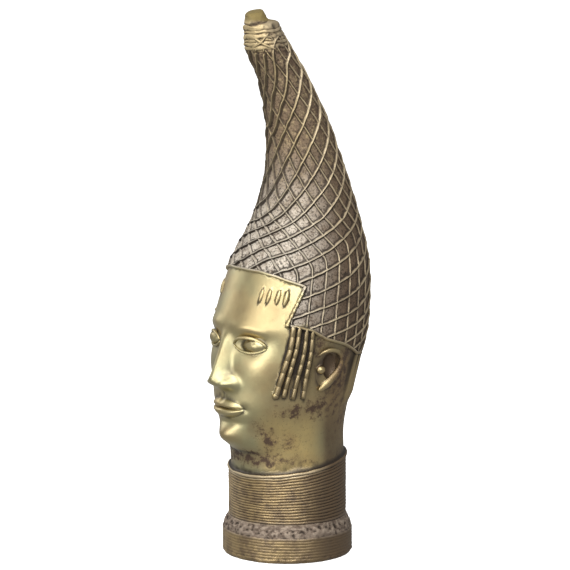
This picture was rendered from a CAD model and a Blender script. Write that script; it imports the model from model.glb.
import math

import bmesh
import bpy
import numpy as np
from mathutils import Matrix, Vector, noise


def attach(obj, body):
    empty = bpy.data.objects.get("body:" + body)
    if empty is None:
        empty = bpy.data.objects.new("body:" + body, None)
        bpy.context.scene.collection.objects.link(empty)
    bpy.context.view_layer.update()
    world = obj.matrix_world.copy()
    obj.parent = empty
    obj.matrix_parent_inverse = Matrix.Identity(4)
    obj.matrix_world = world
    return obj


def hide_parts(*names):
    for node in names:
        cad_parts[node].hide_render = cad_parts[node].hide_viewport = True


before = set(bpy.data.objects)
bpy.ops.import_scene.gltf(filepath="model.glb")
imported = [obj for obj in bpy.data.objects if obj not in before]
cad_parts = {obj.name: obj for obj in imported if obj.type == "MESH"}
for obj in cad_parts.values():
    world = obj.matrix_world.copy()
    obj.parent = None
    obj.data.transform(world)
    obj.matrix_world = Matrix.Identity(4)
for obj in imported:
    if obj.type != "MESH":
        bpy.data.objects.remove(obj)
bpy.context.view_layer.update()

# Cast brass head with a netted cap. Meshes are shaped in millimetres and brought to metres at the end.
# The face looks along -Y. An angle goes round the head from 0 at the nose to 180 at the nape, by +X.

mm = 0.001

# height, half width, half depth, y of the middle: the head under its cap, as the casting was laid out
headForm = np.array([
    (74, 53.5, 53.5, 0), (92, 54, 54, 0), (122, 54.5, 56, -2), (153, 60, 63.5, -3.5),
    (187, 66.5, 73, -1.5), (209, 70, 77, 2), (240, 69, 76, 7), (280, 63.5, 68.5, 14.5),
    (320, 50, 53, 22), (366, 38, 39, 21.5), (412, 30, 30.5, 11.5), (458, 23.5, 24, -7),
    (483, 21.8, 22, -22), (504, 16.4, 16.5, -31), (512, 12.4, 12.4, -35),
])

# the cap's lower edge on one side: angle, height
capEdge = np.array([
    (0, 278.5), (20, 278), (36, 274.5), (50, 269.5), (61, 265.5), (56, 247), (51.5, 230.5),
    (58, 229), (70, 225), (82, 216), (100, 208.5), (120, 196.5), (150, 190), (180, 188),
])


# helpers

def smoothStep(low, high, value):
    t = np.clip((value - low) / (high - low), 0, 1)
    return t * t * (3 - 2 * t)


def bump(offset, spread):
    return np.exp(-(offset / spread) ** 2)


def curveThrough(rows, at):
    # smooth curve through rows of (place, value, ...), level at both ends
    rows = np.asarray(rows, float)
    place, values = rows[:, 0], rows[:, 1:]
    steps = np.diff(place)[:, None]
    slopes = np.diff(values, axis=0) / steps
    tangents = np.zeros_like(values)
    tangents[1:-1] = (slopes[1:] + slopes[:-1]) / 2
    at = np.clip(at, place[0], place[-1])
    cell = np.clip(np.searchsorted(place, at) - 1, 0, len(place) - 2)
    width = steps[cell]
    t = ((at - place[cell]) / width[:, 0])[:, None]
    start, end = values[cell], values[cell + 1]
    return ((2 * t**3 - 3 * t**2 + 1) * start + (t**3 - 2 * t**2 + t) * width * tangents[cell]
            + (3 * t**2 - 2 * t**3) * end + (t**3 - t**2) * width * tangents[cell + 1])


def onForm(angle, height, proud):
    # points on the head's plain form: angle in degrees, height and proud in mm
    values = [np.atleast_1d(np.asarray(value, float)) for value in (angle, height, proud)]
    angle, height, proud = np.broadcast_arrays(*values)
    halfWidth, halfDepth, middle = curveThrough(headForm, height).T
    turn = np.radians(angle)
    x = (halfWidth + proud) * np.sin(turn)
    y = middle - (halfDepth + proud) * np.cos(turn)
    return np.stack([x, y, height], 1)


def noiseAt(points, scale, seed):
    shift = Vector((seed * 17.3, seed * 5.1, seed * 9.7))
    return np.array([noise.noise(Vector(p) / scale + shift) for p in points])


def pieceFrom(bm, name):
    bmesh.ops.remove_doubles(bm, verts=bm.verts, dist=1e-4)
    bmesh.ops.recalc_face_normals(bm, faces=bm.faces)
    mesh = bpy.data.meshes.new(name)
    bm.to_mesh(mesh)
    bm.free()
    piece = bpy.data.objects.new(name, mesh)
    bpy.context.scene.collection.objects.link(piece)
    return piece


def pointsOf(piece):
    flat = np.empty(len(piece.data.vertices) * 3)
    piece.data.vertices.foreach_get("co", flat)
    return flat.reshape(-1, 3)


def reshape(piece, place):
    # moves every point of the piece by a function of all its points
    piece.data.vertices.foreach_set("co", place(pointsOf(piece)).ravel())
    piece.data.update()
    return piece


def spunPiece(profile, steps, name):
    # a closed solid: the profile, out from the axis and back to it, spun round Z
    bm = bmesh.new()
    verts = [bm.verts.new((reach, 0, up)) for reach, up in profile]
    edges = [bm.edges.new(pair) for pair in zip(verts, verts[1:])]
    bmesh.ops.spin(bm, geom=verts + edges, cent=(0, 0, 0), axis=(0, 0, 1), angle=math.tau, steps=steps,
                   use_merge=True)
    return pieceFrom(bm, name)


def bentRod(profile, steps, path, name, flatten=1.0):
    # a spun rod whose length, 0 to 1, follows a path of points
    rod = spunPiece(profile, steps, name)
    path = np.asarray(path, float)
    run = np.concatenate([[0], np.cumsum(np.linalg.norm(np.diff(path, axis=0), axis=1))])
    rows = np.column_stack([run / run[-1], path])

    def place(points):
        along = np.clip(points[:, 2], 0, 1)
        centre = curveThrough(rows, along)
        before, after = (curveThrough(rows, np.clip(along + step, 0, 1)) for step in (-0.02, 0.02))
        tangent = (after - before) / np.linalg.norm(after - before, axis=1)[:, None]
        outward = centre * (1, 1, 0)
        outward /= np.linalg.norm(outward, axis=1)[:, None]
        sideways = np.cross(tangent, outward)
        sideways /= np.linalg.norm(sideways, axis=1)[:, None]
        lift = np.cross(tangent, sideways)
        return centre + sideways * points[:, :1] + lift * points[:, 1:2] * flatten

    return reshape(rod, place)


def ball(centre, size, turn, name, segments=24):
    # an ellipsoid turned round Z by turn degrees
    bm = bmesh.new()
    bmesh.ops.create_uvsphere(bm, u_segments=segments, v_segments=segments // 2 + 2, radius=1)
    bmesh.ops.scale(bm, vec=size, verts=bm.verts)
    turned = Matrix.Rotation(math.radians(turn), 3, "Z")
    bmesh.ops.rotate(bm, cent=(0, 0, 0), matrix=turned, verts=bm.verts)
    bmesh.ops.translate(bm, vec=centre, verts=bm.verts)
    return pieceFrom(bm, name)


def boolean(target, others, operation):
    # joins, cuts or intersects with each of the others in turn, and deletes them
    for other in others:
        step = target.modifiers.new(operation, "BOOLEAN")
        step.operation = operation
        step.solver = "MANIFOLD"
        step.object = other
    depsgraph = bpy.context.evaluated_depsgraph_get()
    joined = bpy.data.meshes.new_from_object(target.evaluated_get(depsgraph))
    target.modifiers.clear()
    target.data = joined
    for other in others:
        bpy.data.objects.remove(other)
    return target


# head, neck and face

head = {
    "columns": 300, "rows": 250, "bottom": 74, "top": 292,
    "sunk": 2.4,             # the skin lies this far under the cap
    "chin": 112,
}
third = (capEdge[0, 1] - head["chin"]) / 3
noseBase = head["chin"] + third
browLine = head["chin"] + 2 * third
lipLine = noseBase - third / 3
eye = {"out": 27, "line": browLine - third / 4, "half": 14, "upper": 8, "lower": 6}
jawReach = [(94, 0), (104, 2), (110, 9), (117, 15), (128, 15), (150, 10), (170, 5), (200, 1), (226, 2.5),
            (260, 0)]
noseReach = [(noseBase - 6, 0), (noseBase - 1, 4), (noseBase + 3, 12), (noseBase + 9, 16.5),
             (noseBase + 17, 14), (200, 8.5), (213, 4), (browLine + 3, 0)]
# out from the middle, height, width, height spread, reach forward
swells = {
    "eye socket": (27, eye["line"] + 1, 17, 11, -5.5),
    "inner brow": (20, browLine + 4, 12, 6, 2.2),
    "outer brow": (38, browLine + 1, 11, 6, 2.0),
    "cheekbone": (40, 186, 16, 17, 2.5),
    "nostril wing": (12.5, noseBase + 5.5, 5, 5.5, 7),
    "hollow under the lip": (0, lipLine - 14, 17, 4.5, -3.2),
    "chin": (0, head["chin"] + 10, 15, 8, 4.5),
    "mouth corner": (22, lipLine, 4, 4, -1.6),
    "groove over the lip": (0, noseBase - 7, 2.6, 6, -0.9),
}


def lipRelief(out, z):
    # two full lips that meet on a level line, with a clear rim
    half = 21
    taper = np.sqrt(np.clip(1 - (out / half) ** 2, 0, 1))
    parting = lipLine - 0.5 + 0.9 * bump(out, 5) * 0.6
    upperRim = parting + 8.6 * taper**0.8 - 1.3 * bump(out, 3)
    lowerRim = parting - 9.4 * taper**0.9
    up = np.clip((z - parting) / np.maximum(upperRim - parting, 0.4), 0, 1)
    down = np.clip((parting - z) / np.maximum(parting - lowerRim, 0.4), 0, 1)
    upper = np.where(z >= parting, np.sin(np.pi * up**0.72) ** 0.8, 0)
    lower = np.where(z < parting, np.sin(np.pi * down**0.8) ** 0.8, 0)
    line = -1.4 * bump(z - parting, 0.9) * smoothStep(24, 18, out)
    return (4.0 * upper + 4.6 * lower) * taper**0.5 + line


def faceRelief(x, z):
    out = np.abs(x)
    relief = curveThrough(jawReach, z)[:, 0] * bump(x, 26 + 20 * smoothStep(120, 160, z))
    width = 7 + 5 * bump(z - noseBase - 3.5, 9)
    relief += curveThrough(noseReach, z)[:, 0] * np.exp(-(out / width) ** 2.4)
    for middle, up, wide, tall, reach in swells.values():
        relief += reach * bump(out - middle, wide) * bump(z - up, tall)
    return relief + lipRelief(out, z)


def onSkin(angle, height, proud=0.0):
    # points on the bare skin, face and all, with the head sunk a little under its cap
    angle, height = (np.atleast_1d(np.asarray(v, float)) for v in (angle, height))
    around = np.abs((angle + 180) % 360 - 180)
    underCap = smoothStep(64, 82, around) * smoothStep(228, 244, height)
    sunk = head["sunk"] * smoothStep(150, 200, height) + 4 * underCap
    points = onForm(angle, height, proud - sunk)
    points[:, 1] -= faceRelief(points[:, 0], points[:, 2]) * (1 - smoothStep(70, 100, around))
    return points


nape = {"count": 13, "halfSpread": 62, "top": 192, "bottom": 143, "proud": 2.6}


def napeRelief(angle, height):
    # strands down the nape, rounded, tapering off above the neck
    away = np.abs(np.abs(angle) - 180)
    phase = (away / (2 * nape["halfSpread"] / nape["count"])) * np.pi
    ridge = np.abs(np.cos(phase)) ** 0.8
    inside = smoothStep(nape["halfSpread"] + 2.5, nape["halfSpread"] - 1, away)
    foot = smoothStep(nape["bottom"], nape["bottom"] + 14, height)
    return nape["proud"] * ridge * inside * foot * smoothStep(nape["top"] + 10, nape["top"], height)


def buildHead():
    # a spun shell whose rows and columns crowd where the face has its features
    profile = [(0, 0)] + [(1, row) for row in range(head["rows"] + 1)] + [(0, head["rows"])]
    piece = spunPiece(profile, head["columns"], "headShell")
    spots = np.linspace(head["bottom"], head["top"], 2000)
    density = 0.35 + bump(spots - lipLine - 4, 26) + bump(spots - eye["line"], 17)
    heights = np.interp(np.linspace(0, 1, head["rows"] + 1),
                        np.cumsum(density) / density.sum(), spots)
    turns = np.linspace(-180, 180, 4000)
    crowding = 0.38 + 1.2 * smoothStep(78, 48, np.abs(turns)) + 0.25 * smoothStep(112, 122, np.abs(turns))
    share = np.cumsum(crowding) / crowding.sum()

    def place(points):
        even = (np.arctan2(points[:, 0], -points[:, 1]) / math.tau) + 0.5
        angle = np.interp(even, share, turns)
        height = np.interp(points[:, 2], np.arange(head["rows"] + 1), heights)
        shaped = onSkin(angle, height, napeRelief(angle, height))
        atAxis = np.hypot(points[:, 0], points[:, 1]) < 0.5
        shaped[atAxis] = onForm(0, height[atAxis], 0) * (0, 0, 1) + (0, 0, 0)
        shaped[atAxis, 1] = curveThrough(headForm, height[atAxis])[:, 2]
        return shaped

    return reshape(piece, place)


def buildEyes():
    # eyeballs with an incised iris, each in an almond of two raised lids
    parts = []
    for side in (1, -1):
        heights = np.array([eye["line"]])
        x = side * eye["out"]
        angle = math.degrees(math.asin(x / curveThrough(headForm, heights)[0, 0]))
        seat = onSkin(angle, heights)[0]
        eyeball = ball((x, seat[1] + 5.5, eye["line"] + 0.6), (13.5, 11.5, 8.6), angle * 0.5, "eyeball", 56)
        look = Vector((math.sin(math.radians(angle * 0.5)), -math.cos(math.radians(angle * 0.5)), 0))
        middle = Vector((x, seat[1] + 5.5, eye["line"] + 0.6)) + look * 11.5

        def incise(points, middle=middle, look=look):
            away = np.linalg.norm(points - np.array(middle), axis=1)
            cut = 0.55 * bump(away - 5.2, 0.6) + 0.5 * bump(away - 1.7, 0.6)
            return points - np.array(look) * cut[:, None]

        parts.append(reshape(eyeball, incise))
        for rise, thick, lift in ((eye["upper"], 1.7, 1.0), (-eye["lower"], 1.25, 0.5)):
            turn = np.linspace(0.04, math.pi - 0.04, 25)
            lidX = side * (eye["out"] + (eye["half"] + 1.5) * np.cos(turn))
            lidZ = eye["line"] + rise * np.sin(turn) ** 1.15 - 0.9 * np.cos(turn)
            lidAngle = np.degrees(np.arcsin(lidX / curveThrough(headForm, lidZ)[:, 0]))
            over = 2.6 * np.sin(turn)
            path = onSkin(lidAngle, lidZ)
            path[:, 1] -= over + lift
            profile = [(0, 0), (0.55 * thick, 0.01)] + [
                (thick * (0.55 + 0.45 * math.sin(math.pi * t)), t) for t in np.linspace(0.06, 0.94, 22)
            ] + [(0.55 * thick, 0.99), (0, 1)]
            parts.append(bentRod(profile, 12, path, "lid"))
    return parts


# four raised strokes over each eye: angle, height of the middle, half length, half width
marks = [(27, 256.5, 5.8, 1.9), (33.5, 256, 6.2, 2.0), (41, 255.5, 6.6, 2.2), (47.5, 254.5, 7.0, 2.4)]


def ovalProfile(half, count=13):
    inner = [(half * math.sin(math.pi * t) ** 0.5, t) for t in np.linspace(0.04, 0.96, count)]
    return [(0, 0)] + inner + [(0, 1)]


def buildMarks():
    parts = []
    for side in (1, -1):
        for angle, height, halfLength, halfWidth in marks:
            along = np.linspace(-1, 1, 5)
            path = onSkin(side * (angle + 0.5 * along), height + halfLength * along, -0.1)
            parts.append(bentRod(ovalProfile(halfWidth), 14, path, "browMark", 0.85))
    return parts


ear = {"angle": 90, "height": 186, "rim": 2.2}
# the rim of the ear, a hook that widens into the lobe: degrees across, mm up, mm proud
earRim = [(-12, 13.5, 0.8), (-9, 17, 2.2), (-3, 18.8, 3.0), (4, 16, 3.5), (9, 9.4, 3.7), (10, 3, 3.6),
          (8, -3, 3.3), (3, -9.5, 2.9), (-2.5, -15.5, 2.3), (-7, -20, 1.6)]


def buildEars():
    # a hooked rim round a deep bowl, with a flap before it
    plates, edges, bowls = [], [], []
    for side in (1, -1):

        def spot(across, up, proud):
            return onSkin(side * (ear["angle"] + across), ear["height"] + up, proud)[0]

        turn = side * ear["angle"]
        plates.append(ball(spot(-1, 0, -3.4), (13.6, 5.2, 19.5), turn, "earPlate", 40))
        profile = [(0, 0)]
        for t in np.linspace(0.015, 0.99, 34):
            swelling = 0.9 + 0.8 * smoothStep(0.3, 0.78, t)
            profile.append((ear["rim"] * swelling * min(1, 6 * t, (8 * (1 - t)) ** 0.5), t))
        edges.append(bentRod(profile + [(0, 1)], 16, [spot(*point) for point in earRim], "earRim", 0.75))
        edges.append(ball(spot(-7.4, 0.5, 0.8), (4.6, 4.2, 4.0), turn, "earFlap"))
        bowls.append(ball(spot(-0.2, 2.5, 2.6), (8.4, 5.6, 12.6), turn, "earBowl", 36))
    return plates, edges, bowls


# bead strands before the ears: the run of each by angle and height, and its half width
locks = [
    {"run": [(56.5, 229), (56, 208.5), (54.7, 193.5), (52.3, 178), (49, 164)], "half": 2.55, "beads": 6},
    {"run": [(61, 228), (60.5, 208.5), (59.5, 193.5), (57.5, 178), (54.5, 162)], "half": 2.15, "beads": 7},
    {"run": [(66.3, 226), (66.5, 208.5), (66.3, 193.5), (64.5, 178), (62, 160)], "half": 2.05, "beads": 6},
    {"run": [(71, 224), (71.7, 203.5), (72, 193.5), (71.2, 178), (70.5, 160)], "half": 2.05, "beads": 7},
]


def buildLocks():
    parts = []
    for side in (1, -1):
        for lock in locks:
            run = np.array(lock["run"], float)
            # beads of uneven length with a narrow joint between them
            joints = np.linspace(0, 1, lock["beads"] + 1)
            joints[1:-1] += 0.018 * np.sin(7 * joints[1:-1] + 3 * lock["half"])
            profile = [(0, 0)]
            for low, high in zip(joints, joints[1:]):
                for part, share in ((0.02, 0.86), (0.05, 0.97), (0.5, 1.0), (0.95, 0.97), (0.98, 0.86)):
                    profile.append((lock["half"] * share, low + part * (high - low)))
            path = onSkin(side * run[:, 0], run[:, 1], 1.15)
            parts.append(bentRod(profile + [(0, 1)], 16, path, "lock"))
        knob = onSkin(side * 48.4, 163.5, 1.4)[0]
        parts.append(ball(knob, (3.2, 2.8, 3.2), side * 48.4, "lockKnob", 18))
    return parts


# netted cap

net = {
    "starts": 12, "firstHeight": 240, "step": 15.9, "extraStep": 5.5, "extraFrom": 5.3,
    "count": 20, "firstAngle": 49.3, "spacing": 11.4,
    "thinFrom": 8.2,                 # above this many steps up, every other fine strand is left out
    "boldHeight": 2.2, "boldHalf": 0.84, "fineHeight": 1.8, "fineHalf": 0.68,
    "floor": -1.9, "tuck": 1.2,
    "columns": 16, "rows": 14,       # grid lines to each mesh of the net
    "low": 182, "high": 496,
    "turns": (-18, 19),
}
# the fine strands hang straight up to the bend, counted in bold strands, and lean forward above it
bend = {"firstNear": -2.5, "near": 10, "turn": 0.55, "softness": 0.3, "lean": 11, "halves": (8.5, 16.5)}
# where the strands sag or ride up: angle and height of the middle, spread each way, shift
drifts = {
    "droop behind the ear": (118, 248, 42, 38, -11),
    "rise over the brow": (24, 284, 22, 18, 4),
    "sag in front, where the cap bends": (-4, 350, 40, 28, -16),
    "rise up the side": (60, 408, 70, 38, 6),
    "dip in front": (-5, 420, 18, 16, -11),
    "rise under the tip": (64, 480, 32, 32, 13),
    "droop behind the tip": (128, 480, 30, 35, -6),
}


def bendOf(strand):
    lap = np.floor((strand - bend["firstNear"]) / net["count"])
    inLap = strand - bend["firstNear"] - net["count"] * lap
    far = np.clip((inLap - bend["near"]) / (net["count"] - bend["near"]), 0, 1)
    return bend["turn"] - net["starts"] * (lap + far)


def oddEnd(strand):
    # the bold strand on which an odd fine strand ends
    lowest = (net["firstAngle"] + net["spacing"] * strand) * net["starts"] / 360
    return np.floor((net["thinFrom"] - lowest) / (1 - bend["lean"] * net["starts"] / 360))


def crossing(turn, strand):
    # angle and height where a bold strand meets a fine one; both may lie between strands
    start = bendOf(strand)
    leaning = (turn - start + np.hypot(turn - start, bend["softness"])) / 2
    angle = net["firstAngle"] + net["spacing"] * strand - bend["lean"] * (start + leaning)
    step = turn + angle * net["starts"] / 360
    plain = net["firstHeight"] + net["step"] * step + net["extraStep"] * np.maximum(0, step - net["extraFrom"])
    height = plain
    for at, up, wide, tall, shift in drifts.values():
        away = (angle - at + 180) % 360 - 180
        height = height + shift * bump(away, wide) * bump(plain - up, tall)
    return angle, height


def crowd(value, amount):
    # moves grid lines towards the whole numbers, where the strands run
    whole = np.round(value)
    part = (value - whole) * 2
    return whole + np.sign(part) * np.abs(part) ** amount / 2


def cord(away, half, tall):
    # height of a laid cord at a distance from its middle, cut in sharply along its lower side
    body = tall * np.clip(1 - (np.abs(away) / (half * 1.5)) ** 2.4, 0, 1) ** 0.7
    return body - 0.7 * bump(away + half * 1.8, half * 0.55) - 0.12 * bump(away - half * 1.9, half * 0.5)


def buildCap():
    bm = bmesh.new()
    firstTurn, lastTurn = net["turns"]
    turnSpan = lastTurn - firstTurn
    columns, rows = net["count"] * net["columns"], turnSpan * net["rows"]
    bmesh.ops.create_grid(bm, x_segments=columns, y_segments=rows, size=0.5)
    piece = pieceFrom(bm, "capNet")

    def place(points):
        strand = (points[:, 0] + 0.5) * net["count"]
        firstHalf, lastHalf = bend["halves"]
        wide = (strand > firstHalf - 0.5) & (strand < lastHalf + 0.5)
        strand = np.where(wide, crowd(2 * strand, 1.4) / 2, crowd(strand, 1.7))
        turn = crowd((points[:, 1] + 0.5) * turnSpan + firstTurn, 1.7)
        angle, height = crossing(turn, strand)
        radius = curveThrough(headForm, height)[:, 0]
        # distances from the strands, square to them
        here = onForm(*crossing(turn, strand), 0)
        step = 0.02
        alongTurn = (onForm(*crossing(turn + step, strand), 0) - here) / step
        alongStrand = (onForm(*crossing(turn, strand + step), 0) - here) / step
        area = np.linalg.norm(np.cross(alongTurn, alongStrand), axis=1)
        acrossBold = area / np.maximum(np.linalg.norm(alongStrand, axis=1), 1e-6)
        acrossFine = area / np.maximum(np.linalg.norm(alongTurn, axis=1), 1e-6)
        bolder = 1 + 0.18 * smoothStep(360, 440, height)
        boldAway = (turn - np.round(turn)) * acrossBold
        bold = cord(boldAway, net["boldHalf"] * bolder, net["boldHeight"] * bolder)
        nearest = np.round(strand)
        fine = cord((nearest - strand) * acrossFine, net["fineHalf"], net["fineHeight"])
        fine *= np.where(nearest % 2 == 1, smoothStep(0.06, -0.03, turn - oddEnd(nearest)), 1)
        middle = np.floor(strand) + 0.5
        end = np.floor(bendOf(middle))
        shown = wide * smoothStep(0.02, -0.05, turn - end)
        half = cord((middle - strand) * acrossFine, net["fineHalf"], net["fineHeight"]) * shown
        tops = np.maximum(np.maximum(bold, fine), half)
        cuts = np.minimum(np.minimum(bold, fine), half)
        relief = np.where(tops > 0.02, tops, cuts)
        wander, swell = noiseAt(here, 24, 1), noiseAt(here, 8, 2)
        rough, fineRough = noiseAt(here, 3.2, 3), noiseAt(here, 1.7, 7)
        angle = angle + 36 * wander / radius
        height = height + 0.8 * swell
        around = np.abs((angle + 180) % 360 - 180)
        tuck = net["tuck"] * smoothStep(480, 486, height) * smoothStep(75, 55, around)
        floor = net["floor"] - tuck + (0.1 + 0.1 * (relief < 0.5)) * (rough + fineRough)
        proud = floor + relief * (1 + 0.3 * swell)
        return onForm(angle, height, proud)

    reshape(piece, place)
    bm = bmesh.new()
    bm.from_mesh(piece.data)
    bmesh.ops.remove_doubles(bm, verts=bm.verts, dist=0.02)
    for cut, outward in ((net["low"], -1), (net["high"], 1)):
        bmesh.ops.bisect_plane(bm, geom=bm.verts[:] + bm.edges[:] + bm.faces[:], dist=1e-4,
                               plane_co=(0, 0, cut), plane_no=(0, 0, outward), clear_outer=True)
        rim = [e for e in bm.edges if e.is_boundary and abs(e.verts[0].co.z - cut) < 0.01]
        bmesh.ops.holes_fill(bm, edges=rim, sides=0)
    bmesh.ops.triangulate(bm, faces=[f for f in bm.faces if len(f.verts) > 4])
    bpy.data.objects.remove(piece)
    return pieceFrom(bm, "capNet")


def edgeRun(first, last, side=1):
    # angles and heights along a stretch of the cap's edge, closely spaced
    spots = np.linspace(first, last, int((last - first) * 8) + 1)
    angle = np.interp(spots, np.arange(len(capEdge)), capEdge[:, 0])
    height = np.interp(spots, np.arange(len(capEdge)), capEdge[:, 1])
    return side * angle, height


def buildEdgeRoom():
    # everything above the cap's edge, as a slab across the head
    bm = bmesh.new()
    far = 130
    edge = onForm(*edgeRun(0, len(capEdge) - 1), 0)
    outline = [(-far, capEdge[0, 1])] + [(p[1], p[2]) for p in edge] + [(far, 188), (far, 560), (-far, 560)]
    face = bm.faces.new([bm.verts.new((-far, y, z)) for y, z in outline])
    grown = bmesh.ops.extrude_face_region(bm, geom=[face])["geom"]
    farSide = [v for v in grown if isinstance(v, bmesh.types.BMVert)]
    bmesh.ops.translate(bm, vec=(2 * far, 0, 0), verts=farSide)
    bmesh.ops.triangulate(bm, faces=bm.faces[:])
    return pieceFrom(bm, "edgeRoom")


# the cord that binds the cap's edge: first and last corner, half width, drop below the cut, beads
edgeCords = [(0, 4, 1.45, 0.3, 0), (4, 6, 2.1, 0.0, 7), (6, 13, 1.5, 0.3, 0)]


def buildEdgeCord():
    parts = []
    for side in (1, -1):
        for first, last, half, drop, beads in edgeCords:
            angle, height = edgeRun(first, last, side)
            path = onForm(angle, height - drop, -0.75)
            profile = [(0, 0)]
            for t in np.linspace(0.004, 0.996, 60 if beads else 12 * (last - first)):
                notch = 0.35 + 0.65 * abs(math.sin(math.pi * beads * t)) ** 0.4 if beads else 1
                profile.append((half * notch, t))
            parts.append(bentRod(profile + [(0, 1)], 12, path, "edgeCord"))
        corner = onForm(side * capEdge[6, 0], capEdge[6, 1], -0.2)[0]
        parts.append(ball(corner, (2.6, 2.3, 2.2), side * capEdge[6, 0], "cordEnd", 18))
    return parts


# bound tip

tip = {
    "root": 474, "top": 508, "height": 520.5, "gap": 1.1,
    "plugFoot": 11.2, "plugTop": 8.8, "footMiddle": -36.6, "topMiddle": -38.6, "edge": 1.8, "slant": 0.25,
}
# wraps of cord round the tip: height, half width, how proud
tipWraps = [(485.6, 1.9, 0.0), (489.4, 1.7, 0.4), (492.3, 1.2, -0.1), (496.0, 2.6, 0.3), (500.4, 1.5, -0.1),
            (504.6, 2.9, 0.3)]


def buildTip():
    profile = [(0, tip["root"]), (18.5, tip["root"]), (19.6, 480)]
    for height in np.linspace(482, tip["top"] - 0.4, 80):
        wrap = max((proud + tip["gap"]) * math.sqrt(max(0, 1 - ((height - at) / half) ** 2))
                   for at, half, proud in tipWraps)
        profile.append((curveThrough(headForm, [height])[0, 0] - tip["gap"] + wrap, height))
    plugRun, edge, plugTop = tip["height"] - tip["top"], tip["edge"], tip["plugTop"]
    profile += [(tip["plugFoot"] + 0.5, tip["top"]), (tip["plugFoot"], tip["top"] + 0.8)]
    for t in np.linspace(0.15, 1, 9):
        reach = tip["plugFoot"] + (plugTop - tip["plugFoot"]) * t
        profile.append((reach, tip["top"] + (plugRun - edge) * t))
    for turn in np.radians((25, 50, 75)):
        profile.append((plugTop - edge * (1 - math.cos(turn)), tip["height"] - edge * (1 - math.sin(turn))))
    profile += [(plugTop * 0.4, tip["height"]), (0, tip["height"])]

    def place(points):
        heights = points[:, 2]
        share = np.clip((heights - tip["top"]) / plugRun, 0, 1)
        onPlug = smoothStep(tip["top"] - 0.3, tip["top"] + 0.6, heights)
        middle = curveThrough(headForm, heights)[:, 2] * (1 - onPlug)
        middle += (tip["footMiddle"] + (tip["topMiddle"] - tip["footMiddle"]) * share) * onPlug
        # the wraps lie aslant and uneven, and sink in behind, where the net runs up over them
        angle = np.arctan2(points[:, 0], -points[:, 1])
        wrapped = smoothStep(480, 484, heights) * (1 - onPlug)
        aslant = smoothStep(480, 485, heights) * smoothStep(tip["top"] + 5, tip["top"], heights)
        slack = 2.4 * np.sin(angle - 0.9) + 0.6 * np.sin(2 * angle + heights / 6)
        reach = np.hypot(points[:, 0], points[:, 1])
        sunk = 0.9 * smoothStep(55, 100, np.abs(np.degrees(angle))) * (heights < 498)
        uneven = 0.8 * noiseAt(points, 6, 4) + 0.4 * noiseAt(points, 2.5, 10) - sunk * wrapped
        grow = 1 + uneven / np.maximum(reach, 6)
        moved = points * np.stack([grow, grow, np.ones_like(grow)], 1)
        atTop = smoothStep(tip["top"] + 5, tip["height"] - 1, heights)
        cut = tip["slant"] * (plugTop - moved[:, 1]) * atTop
        moved[:, 1] += middle
        moved[:, 2] += (slack + 1.3 * noiseAt(points, 8, 12)) * aslant - cut
        return moved

    parts = [reshape(spunPiece(profile, 96, "tip"), place)]
    # two strands that cross in front of the wraps
    for run in ([(10, 485), (38, 490), (70, 499)], [(74, 484), (46, 489), (16, 496)]):
        run = np.array(run, float)
        parts.append(bentRod(ovalProfile(1.2, 20), 12, onForm(run[:, 0], run[:, 1], -0.2), "tipStrand"))
    return parts


# deep nicks under the wraps: angle, height, half sizes
tipNicks = [(30, 480.5, (7.5, 2.6, 1.5)), (66, 472.5, (4.2, 2.4, 1.6))]


def buildNicks():
    return [ball(onForm(angle, height, 0)[0], size, angle, "nick", 20) for angle, height, size in tipNicks]


# flange and collar

base = {"radius": 62, "wall": 24.5, "rings": 8, "groove": 0.4, "lip": 2.5, "shoulderTop": 37}
collar = {
    "radius": 56.2, "top": 91, "frontDrop": 8, "rings": 17, "groove": 1.2, "cord": 1.9, "columns": 190,
}


def ringRun(low, high, count, crest, groove):
    # profile of rounded rings with sharp grooves between them
    run = []
    for i in range(count):
        for t in (0.0, 0.12, 0.3, 0.5, 0.7, 0.88):
            reach = crest - groove * (1 - math.sin(math.pi * t) ** 0.6)
            run.append((reach, low + (high - low) * (i + t) / count))
    return run


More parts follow.
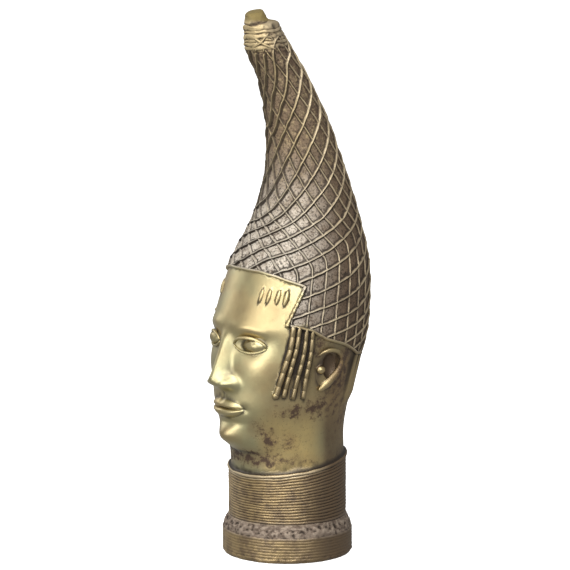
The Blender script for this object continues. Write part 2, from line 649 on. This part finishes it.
def buildBase():
    profile = [(0, 0), (base["radius"] - 3.4, 0), (base["radius"] - 1.6, 0.5), (base["radius"] - 0.8, 1.5)]
    profile += ringRun(base["lip"], base["wall"], base["rings"], base["radius"], base["groove"])
    rise = base["shoulderTop"] - base["wall"]
    for t in np.linspace(0, 1, 13):
        profile.append((base["radius"] - 0.8 - 5.2 * t**1.5, base["wall"] + 0.4 + (rise - 0.8) * t))
    cordStart = collar["top"] - 2 * collar["cord"]
    profile += ringRun(base["shoulderTop"], cordStart, collar["rings"], collar["radius"], collar["groove"])
    profile += [(collar["radius"] - collar["groove"] + (collar["groove"] + 1.1) * math.sin(math.pi * t) ** 0.6,
                 cordStart + 2 * collar["cord"] * t) for t in np.linspace(0.03, 0.97, 9)]
    profile += [(collar["radius"] - 4, collar["top"]), (0, collar["top"])]

    def place(points):
        heights = points[:, 2]
        reach = np.hypot(points[:, 0], points[:, 1])
        front = np.divide(-points[:, 1], reach, out=np.zeros_like(reach), where=reach > 0)
        share = np.clip((heights - base["shoulderTop"]) / (collar["top"] - base["shoulderTop"]), 0, 1)
        wave, small, tiny = noiseAt(points, 19, 5), noiseAt(points, 4.6, 6), noiseAt(points, 2.4, 8)
        side = smoothStep(2, 6, heights)
        onShoulder = bump(heights - 30.5, 5.5)
        # each ring runs a little unevenly
        ringWave = noiseAt(points * (1, 1, 2.6), 12, 9) * smoothStep(37, 42, heights)
        moved = points.copy()
        moved[:, 2] += -collar["frontDrop"] * front * share + side * (0.5 * wave + 0.55 * ringWave)
        moved[:, 2] += side * onShoulder * (0.9 * small + 0.5 * tiny)
        rough = side * (0.3 * wave + 0.16 * small + 0.1 * tiny) + onShoulder * (0.7 * small + 0.5 * tiny)
        chipped = 0.5 * (1 - smoothStep(3, 8, heights)) * (small + tiny) * (reach > base["radius"] - 5)
        moved[:, :2] *= (1 + (rough + chipped) / np.maximum(reach, 20))[:, None]
        return moved

    return reshape(spunPiece(profile, collar["columns"], "base"), place)


# the one casting

def castTogether():
    cap = boolean(buildCap(), [buildEdgeRoom()], "INTERSECT")
    print("cap", len(cap.data.polygons))
    plates, edges, bowls = buildEars()
    whole = boolean(buildHead(), [buildBase()] + plates, "UNION")
    boolean(whole, bowls, "DIFFERENCE")
    boolean(whole, edges, "UNION")
    print("head", len(whole.data.polygons))
    boolean(cap, buildNicks(), "DIFFERENCE")
    added = [cap] + buildTip() + buildEyes() + buildMarks() + buildLocks() + buildEdgeCord()
    boolean(whole, added, "UNION")
    whole.name = "castHead"
    whole.data.name = "castHead"
    print("whole", len(whole.data.polygons))
    return whole


def mend(bm):
    # opens the mesh round each faulty edge and closes it again
    for attempt in range(5):
        bmesh.ops.dissolve_degenerate(bm, dist=1e-4, edges=bm.edges[:])
        bmesh.ops.triangulate(bm, faces=[f for f in bm.faces if len(f.verts) > 3])
        faulty = [e for e in bm.edges if not e.is_manifold]
        if not faulty:
            return
        bmesh.ops.delete(bm, geom=list({v for e in faulty for v in e.verts}), context="VERTS")
        bmesh.ops.delete(bm, geom=[e for e in bm.edges if e.is_wire], context="EDGES")
        bmesh.ops.delete(bm, geom=[v for v in bm.verts if not v.link_faces], context="VERTS")
        filled = bmesh.ops.holes_fill(bm, edges=[e for e in bm.edges if e.is_boundary], sides=0)
        bmesh.ops.triangulate(bm, faces=filled["faces"])
    print("faulty edges left", len([e for e in bm.edges if not e.is_manifold]))


def slim(piece, limit):
    # thins the flatter stretches of the mesh and keeps the strands
    bm = bmesh.new()
    bm.from_mesh(piece.data)
    bmesh.ops.triangulate(bm, faces=bm.faces[:])
    count = len(bm.faces)
    bm.to_mesh(piece.data)
    bm.free()
    if count > limit:
        step = piece.modifiers.new("slim", "DECIMATE")
        step.ratio = limit / count
        depsgraph = bpy.context.evaluated_depsgraph_get()
        slimmer = bpy.data.meshes.new_from_object(piece.evaluated_get(depsgraph))
        piece.modifiers.clear()
        piece.data = slimmer
    bm = bmesh.new()
    bm.from_mesh(piece.data)
    mend(bm)
    bmesh.ops.recalc_face_normals(bm, faces=bm.faces)
    bm.to_mesh(piece.data)
    bm.free()
    print("triangles", count, "to", len(piece.data.polygons))
    return piece


castHead = slim(castTogether(), 190000)
reshape(castHead, lambda points: points * mm)


# relief and place, kept with each point for the finish

def smoothed(values, links, count, rounds):
    degree = np.bincount(links.ravel(), minlength=count)[:, None]
    for _ in range(rounds):
        total = np.stack([np.bincount(links[:, 0], values[links[:, 1], i], count)
                          + np.bincount(links[:, 1], values[links[:, 0], i], count)
                          for i in range(values.shape[1])], 1)
        values = 0.5 * values + 0.5 * total / np.maximum(degree, 1)
    return values


def keepAttribute(mesh, name, values):
    layer = mesh.attributes.new(name, "FLOAT", "POINT")
    layer.data.foreach_set("value", np.asarray(values, np.float32))


# brown stains on the skin: angle, height, spread each way, strength
stains = [
    (38, 118, 9, 15, 1.0), (60, 148, 18, 10, 1.0), (18, 101, 14, 9, 1.0), (28, 132, 8, 10, 0.8),
    (57, 118, 8, 10, 1.0), (84, 150, 12, 18, 0.8), (104, 184, 14, 30, 1.0), (77, 208, 7, 20, 1.0),
    (30, 96, 16, 6, 1.0), (66, 98, 24, 7, 0.9), (128, 140, 26, 30, 0.8), (50, 246, 5, 10, 0.5),
    (2, 97, 10, 7, 0.8),
]


def markPlaces(piece):
    # marks each point with where it lies and how the surface runs there
    mesh = piece.data
    points = pointsOf(piece) / mm
    count = len(points)
    links = np.empty(len(mesh.edges) * 2, int)
    mesh.edges.foreach_get("vertices", links)
    links = links.reshape(-1, 2)
    normals = np.empty(count * 3)
    mesh.vertices.foreach_get("normal", normals)
    normals = normals.reshape(-1, 3)
    near = ((points - smoothed(points, links, count, 5)) * normals).sum(1)
    heights = points[:, 2]
    halfWidth, halfDepth, middle = curveThrough(headForm, heights).T
    angle = np.degrees(np.arctan2(points[:, 0] / halfWidth, (middle - points[:, 1]) / halfDepth))
    around = np.abs(angle)
    surface = onForm(angle, heights, 0)
    outward = onForm(angle, heights, 1) - surface
    proud = ((points - surface) * outward).sum(1)
    upward = onForm(angle, heights + 1, 0) - onForm(angle, heights - 1, 0)
    upward /= np.linalg.norm(upward, axis=1)[:, None]
    flank = (normals * (np.cross(upward, outward) - 0.6 * upward)).sum(1)
    # the edge line is crossed twice at the temple, so it is told by height and by side view
    edgePoints = onForm(capEdge[:, 0], capEdge[:, 1], 0)
    rising = [0, 1, 2, 3, 4, 7, 8, 9, 10, 11, 12, 13]
    edgeHeight = np.interp(points[:, 1], edgePoints[rising, 1], edgePoints[rising, 2])
    temple = (points[:, 1] > -44) & (points[:, 1] < -22.7) & (heights < 265.5) & (heights > 229)
    templeEdge = np.interp(heights, [230.5, 265.5], [edgePoints[6, 1], edgePoints[4, 1]])
    onCap = np.where(temple & (points[:, 1] > templeEdge), 1.0, (heights > edgeHeight).astype(float))
    onCap = np.where(heights < 184, 0, onCap)
    cap = smoothed(onCap[:, None], links, count, 2)[:, 0]
    collarTop = collar["top"] - collar["frontDrop"] * np.cos(np.radians(around))
    strands = smoothStep(46.0, 47.2, around - 0.115 * (heights - 164)) * smoothStep(157, 161, heights)
    strands *= smoothStep(232, 228, heights) * smoothStep(77, 73.5, around)
    behind = smoothStep(112, 120, around) * smoothStep(140, 156, heights)
    inEar = bump(around - 88, 10.5) * bump(heights - 187, 18)
    stain = sum(strength * bump(around - at, wide) * bump(heights - up, tall)
                for at, up, wide, tall, strength in stains)
    keepAttribute(mesh, "near", np.clip(near / 0.35, -1, 1))
    keepAttribute(mesh, "proud", np.clip(proud, -6, 6))
    keepAttribute(mesh, "flank", flank)
    keepAttribute(mesh, "cap", cap)
    keepAttribute(mesh, "rings", smoothStep(5, 1, heights - collarTop) * (1 - cap))
    keepAttribute(mesh, "ledge", smoothStep(22, 26, heights) * smoothStep(40, 35, heights))
    keepAttribute(mesh, "hair", np.maximum(strands, behind) * (1 - cap))
    keepAttribute(mesh, "ear", np.clip(1.6 * inEar * smoothStep(1.0, -0.8, proud), 0, 1))
    keepAttribute(mesh, "dusk", smoothStep(40, 100, around))
    keepAttribute(mesh, "stain", np.clip(stain, 0, 1))
    keepAttribute(mesh, "crown", smoothStep(300, 405, heights))
    sideOfNeck = smoothStep(92, 74, around) * smoothStep(20, 42, around)
    keepAttribute(mesh, "neck", smoothStep(160, 126, heights) * sideOfNeck)
    keepAttribute(mesh, "back", smoothStep(82, 98, around) * smoothStep(216, 196, heights))
    onTopCord = smoothStep(3.0, 2.0, np.abs(heights - collarTop + 1.9))
    keepAttribute(mesh, "topCord", onTopCord * smoothStep(100, 70, around))
    keepAttribute(mesh, "foot", smoothStep(26, 24, heights))
    keepAttribute(mesh, "tip", smoothStep(tip["top"] + 1, tip["top"] + 3.5, heights))


markPlaces(castHead)
for polygon in castHead.data.polygons:
    polygon.use_smooth = True
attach(castHead, "root")
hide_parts("cast_head")
print("casting done")


# finish

def node(tree, kind, **settings):
    made = tree.nodes.new(kind)
    for name, value in settings.items():
        setattr(made, name, value)
    return made


tones = {
    "olive": (0.455, 0.415, 0.215), "gold": (0.51, 0.395, 0.185), "copper": (0.38, 0.255, 0.115),
    "neckGold": (0.78, 0.575, 0.215), "backBrown": (0.13, 0.09, 0.05),
    "stain": (0.10, 0.062, 0.038), "soot": (0.03, 0.021, 0.014), "earBrown": (0.10, 0.065, 0.035),
    "ash": (0.60, 0.535, 0.445), "umber": (0.16, 0.11, 0.07), "pale": (0.46, 0.405, 0.315),
    "ochre": (0.51, 0.415, 0.265), "crownFloor": (0.26, 0.185, 0.115), "crownCrest": (0.50, 0.39, 0.21),
    "bead": (0.33, 0.25, 0.125), "ring": (0.37, 0.265, 0.125), "ringDark": (0.15, 0.10, 0.055),
    "ledge": (0.24, 0.185, 0.14), "ledgeDark": (0.12, 0.085, 0.062), "ledgePale": (0.44, 0.36, 0.28),
    "knob": (0.23, 0.175, 0.065), "ringPale": (0.50, 0.40, 0.25),
}


def patinatedBrass():
    material = bpy.data.materials.new("patinatedBrass")
    material.use_nodes = True
    tree = material.node_tree
    tree.nodes.clear()
    link = tree.links.new
    out = node(tree, "ShaderNodeOutputMaterial")
    shader = node(tree, "ShaderNodeBsdfPrincipled")
    link(shader.outputs[0], out.inputs[0])
    place = node(tree, "ShaderNodeTexCoord").outputs["Object"]

    def attribute(name):
        return node(tree, "ShaderNodeAttribute", attribute_name=name).outputs["Fac"]

    def spots(scale, detail=4.0, rough=0.55, stretch=(1, 1, 1)):
        made = node(tree, "ShaderNodeTexNoise")
        made.inputs["Scale"].default_value = scale
        made.inputs["Detail"].default_value = detail
        made.inputs["Roughness"].default_value = rough
        scaled = node(tree, "ShaderNodeMapping")
        scaled.inputs["Scale"].default_value = stretch
        link(place, scaled.inputs["Vector"])
        link(scaled.outputs[0], made.inputs["Vector"])
        return made.outputs["Fac"]

    def span(value, low, high, toLow=0.0, toHigh=1.0):
        made = node(tree, "ShaderNodeMapRange", clamp=True)
        for name, number in (("From Min", low), ("From Max", high), ("To Min", toLow), ("To Max", toHigh)):
            made.inputs[name].default_value = number
        link(value, made.inputs["Value"])
        return made.outputs["Result"]

    def maths(operation, first, second=None):
        made = node(tree, "ShaderNodeMath", operation=operation, use_clamp=operation != "MAXIMUM")
        for socket, value in zip(made.inputs, (first, second)):
            if isinstance(value, (int, float)):
                socket.default_value = value
            elif value is not None:
                link(value, socket)
        return made.outputs[0]

    def blend(amount, first, second):
        made = node(tree, "ShaderNodeMix", data_type="RGBA")
        link(amount, made.inputs["Factor"])
        for name, value in (("A", first), ("B", second)):
            socket = [s for s in made.inputs if s.name == name and s.type == "RGBA"][0]
            if isinstance(value, tuple):
                socket.default_value = (*value, 1)
            else:
                link(value, socket)
        return [s for s in made.outputs if s.type == "RGBA"][0]

    cap, rings, hair, ledge, tipTop = (attribute(name) for name in ("cap", "rings", "hair", "ledge", "tip"))
    near, proud, flank = (attribute(name) for name in ("near", "proud", "flank"))
    dusk, crown, neck, back = (attribute(name) for name in ("dusk", "crown", "neck", "back"))
    broad = spots(14, 3)
    patches = spots(34, 4, 0.6)
    mottle = spots(90, 6, 0.68)
    grain = spots(520, 4, 0.7)
    streaks = spots(75, 5, 0.7, (1, 1, 3.5))

    # polished skin: olive and golden brass, stained brown in places
    skin = blend(span(broad, 0.4, 0.62), tones["olive"], tones["gold"])
    skin = blend(span(patches, 0.5, 0.72, 0, 0.55), skin, tones["copper"])
    skin = blend(maths("MULTIPLY", neck, span(patches, 0.3, 0.6, 1, 0.55)), skin, tones["neckGold"])
    skin = blend(maths("MULTIPLY", back, span(patches, 0.3, 0.7, 1, 0.72)), skin, tones["backBrown"])
    skin = blend(span(attribute("stain"), 0.1, 1, 0, 0.55), skin, tones["copper"])
    lean = maths("MULTIPLY", attribute("stain"), 0.27)
    stained = span(maths("ADD", spots(150, 8, 0.74), lean), 0.66, 0.8)
    skin = blend(stained, skin, tones["stain"])
    specks = maths("MULTIPLY", span(spots(330, 5, 0.8), 0.56, 0.68), maths("MAXIMUM", neck, back))
    skin = blend(maths("MULTIPLY", specks, 0.7), skin, tones["stain"])
    skin = blend(span(near, -0.15, -0.8, 0, 0.7), skin, tones["soot"])
    skin = blend(attribute("ear"), skin, tones["earBrown"])

    # cap: worn crests over pitted floors, pale in front and brown round the side
    crest = span(proud, -1.15, -0.1)
    floorTone = blend(dusk, blend(crown, tones["ash"], tones["crownFloor"]), tones["umber"])
    floorTone = blend(span(grain, 0.52, 0.38, 0, 0.85), floorTone, tones["soot"])
    floorTone = blend(span(mottle, 0.46, 0.66, 0, 0.6), floorTone, tones["umber"])
    glints = maths("MULTIPLY", crown, span(spots(230, 6, 0.75), 0.52, 0.62, 0, 0.6))
    floorTone = blend(glints, floorTone, tones["crownCrest"])
    crestTone = blend(dusk, blend(crown, tones["pale"], tones["crownCrest"]), tones["ochre"])
    crestTone = blend(span(patches, 0.45, 0.7, 0, 0.5), crestTone, floorTone)
    capTone = blend(crest, floorTone, crestTone)
    line = maths("MAXIMUM", span(flank, 0.12, 0.36, 0, 0.97), span(near, -0.18, -0.65, 0, 0.85))
    capTone = blend(maths("MULTIPLY", line, span(crown, 0, 1, 1, 0.78)), capTone, tones["soot"])
    capTone = blend(tipTop, capTone, tones["knob"])

    # strands of hair, rings and ledge
    beadTop = span(proud, -1.3, 0.4)
    hairTone = blend(beadTop, tones["soot"], tones["bead"])
    hairTone = blend(span(near, -0.05, -0.5, 0, 0.9), hairTone, tones["soot"])
    ringTone = blend(dusk, tones["ring"], tones["ringDark"])
    ringTone = blend(span(mottle, 0.44, 0.62, 0, 0.8), ringTone, tones["ringDark"])
    aboveFoot = maths("SUBTRACT", 1.0, maths("MULTIPLY", attribute("foot"), 0.5))
    grooved = maths("MULTIPLY", span(near, 0.2, -0.2, 0, 0.95), aboveFoot)
    ringTone = blend(grooved, ringTone, tones["soot"])
    topCord = maths("MULTIPLY", attribute("topCord"), span(near, -0.3, 0.2))
    ringTone = blend(topCord, ringTone, tones["ringPale"])
    ledgeTone = blend(span(streaks, 0.42, 0.6), tones["ledge"], tones["ledgeDark"])
    ledgeTone = blend(span(near, -0.1, -0.6, 0, 0.85), ledgeTone, tones["soot"])
    ledgeTone = blend(span(near, 0.25, 0.8, 0, 0.45), ledgeTone, tones["ledgePale"])

    colour = blend(cap, skin, capTone)
    colour = blend(hair, colour, hairTone)
    colour = blend(rings, colour, ringTone)
    colour = blend(ledge, colour, ledgeTone)
    link(colour, shader.inputs["Base Color"])
    shader.inputs["Coat Roughness"].default_value = 0.4
    shader.inputs["Coat IOR"].default_value = 1.8

    # the duller the spot, the less it shines
    dull = maths("MULTIPLY", cap, maths("SUBTRACT", 1.0, maths("MULTIPLY", crest, 0.5)))
    betweenBeads = maths("SUBTRACT", 1.0, maths("MULTIPLY", beadTop, 0.8))
    dull = maths("MAXIMUM", dull, maths("MULTIPLY", hair, betweenBeads))
    dull = maths("MAXIMUM", dull, maths("MULTIPLY", rings, 0.35))
    dull = maths("MAXIMUM", dull, maths("MULTIPLY", ledge, 0.85))
    dull = maths("MAXIMUM", dull, maths("MULTIPLY", stained, 0.6))
    dull = maths("MAXIMUM", dull, maths("MULTIPLY", back, 0.6))
    link(span(dull, 0, 1, 1.0, 0.5), shader.inputs["Metallic"])
    gloss = maths("ADD", span(dull, 0, 1, 0.4, 0.72), span(mottle, 0.3, 0.8, -0.05, 0.12))
    link(gloss, shader.inputs["Roughness"])
    link(span(dull, 0, 0.8, 0.5, 0), shader.inputs["Coat Weight"])

    pits = node(tree, "ShaderNodeBump")
    pits.inputs["Distance"].default_value = 0.0005
    link(span(dull, 0, 1, 0.1, 0.8), pits.inputs["Strength"])
    link(grain, pits.inputs["Height"])
    link(pits.outputs[0], shader.inputs["Normal"])
    return material


castHead.data.materials.clear()
castHead.data.materials.append(patinatedBrass())
print("finish done")


# floor, light and camera

studio = {"lens": 217.3, "azimuth": 52, "elevation": 9.5, "distance": 3.2563, "aim": (0, 0, 0.26458),
          "shift": (-0.0040, -0.0142), "world": 0.38}
# name, azimuth, elevation, distance, width, power
lamps = [("softBox", 35, 50, 1.9, 1.2, 21), ("frontBox", 15, 5, 1.9, 1.2, 14), ("topBox", 0, 65, 1.9, 1.2, 6),
         ("leftBox", -70, 25, 1.9, 1.2, 6), ("sideBox", 66, 24, 1.9, 1.2, 18)]


def facing(azimuth, elevation):
    turn, rise = math.radians(azimuth), math.radians(elevation)
    return Vector((math.sin(turn) * math.cos(rise), -math.cos(turn) * math.cos(rise), math.sin(rise)))


def setUp(name, data, back, target, distance):
    # places a lamp or camera at a distance from the target, looking at it
    thing = bpy.data.objects.new(name, data)
    thing.location = Vector(target) + back * distance
    thing.rotation_mode = "QUATERNION"
    thing.rotation_quaternion = (-back).to_track_quat("-Z", "Y")
    bpy.context.scene.collection.objects.link(thing)
    return thing


def buildFloor():
    bm = bmesh.new()
    bmesh.ops.create_grid(bm, x_segments=1, y_segments=1, size=30)
    floor = pieceFrom(bm, "floor")
    material = bpy.data.materials.new("paleFloor")
    material.use_nodes = True
    shader = material.node_tree.nodes["Principled BSDF"]
    shader.inputs["Base Color"].default_value = (0.9, 0.9, 0.9, 1)
    shader.inputs["Roughness"].default_value = 0.9
    shader.inputs["Emission Color"].default_value = (1, 1, 1, 1)
    shader.inputs["Emission Strength"].default_value = 1
    floor.data.materials.append(material)
    # the bright floor doesn't light the casting from below
    floor.visible_diffuse = False
    floor.visible_glossy = False


def buildStudio():
    for name, azimuth, elevation, distance, width, power in lamps:
        data = bpy.data.lights.new(name, "AREA")
        data.shape = "DISK"
        data.size = width
        data.energy = power
        setUp(name, data, facing(azimuth, elevation), (0, 0, 0.26), distance)
    world = bpy.data.worlds.new("studio")
    world.use_nodes = True
    world.node_tree.nodes["Background"].inputs["Color"].default_value = (1, 1, 1, 1)
    world.node_tree.nodes["Background"].inputs["Strength"].default_value = studio["world"]
    bpy.context.scene.world = world
    bpy.context.scene.view_settings.view_transform = "Standard"


def buildCamera():
    data = bpy.data.cameras.new("camera")
    data.lens = studio["lens"]
    data.shift_x, data.shift_y = studio["shift"]
    data.clip_end = 200
    back = facing(studio["azimuth"], studio["elevation"])
    bpy.context.scene.camera = setUp("camera", data, back, studio["aim"], studio["distance"])


buildFloor()
buildStudio()
buildCamera()
